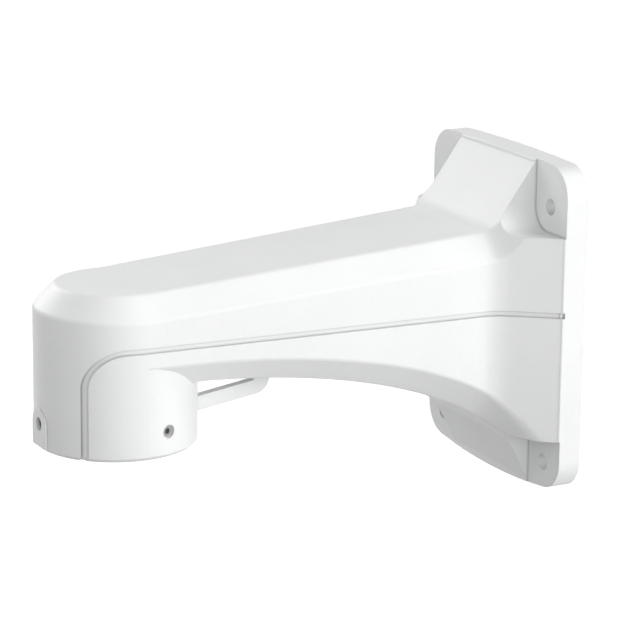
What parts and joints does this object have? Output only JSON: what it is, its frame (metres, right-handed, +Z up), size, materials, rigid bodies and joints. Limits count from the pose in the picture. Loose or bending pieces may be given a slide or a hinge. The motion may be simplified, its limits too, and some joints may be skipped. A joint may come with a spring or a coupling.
{
  "type": "camera wall bracket",
  "caption": "Hollow die-cast wall bracket: a flared plate with screw pockets carries a bevelled arm whose round head ends in a downward socket for a dome camera.",
  "frame": {"origin": "centre of the four wall screws, on the wall face", "axes": "+Z up, +Y into the wall, so the arm reaches out along -Y; X runs across the plate"},
  "size_m": [0.1424, 0.2864, 0.184],
  "materials": {
    "powder_coat": "satin white powder coat on die-cast aluminium",
    "screw_steel": "plain stainless steel set screws"
  },
  "bodies": {
    "root": {"bracket_body": "powder_coat", "locking_screws": "screw_steel"}
  },
  "joints": []
}
